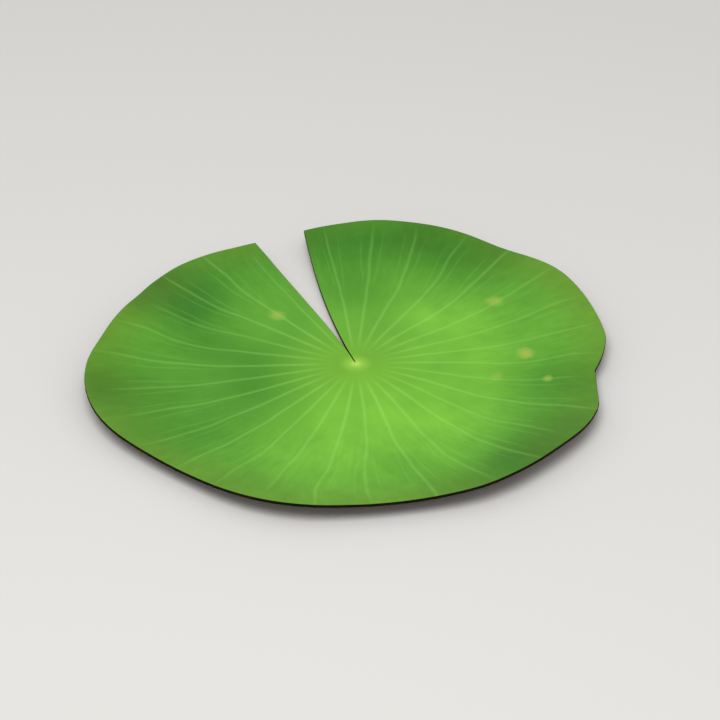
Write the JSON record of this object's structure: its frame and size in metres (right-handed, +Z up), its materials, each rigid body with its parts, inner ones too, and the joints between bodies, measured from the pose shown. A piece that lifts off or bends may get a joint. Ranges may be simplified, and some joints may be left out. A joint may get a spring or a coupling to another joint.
{
  "type": "water lily pad",
  "caption": "Round floating leaf with a V-shaped cleft to its stalk, a wavy, slightly upturned rim and vein ribs that fan out on the underside.",
  "frame": {"origin": "middle of the pad's footprint, on the surface that it lies on", "axes": "+Z up, from the underside to the upper face; +Y along the cleft, away from the stalk; +X to the right"},
  "size_m": [0.2565, 0.2436, 0.0129],
  "materials": {
    "leaf": "waxy green upper face with paler veins, matt maroon underside"
  },
  "bodies": {
    "root": {"lily_pad": "leaf"}
  },
  "joints": []
}
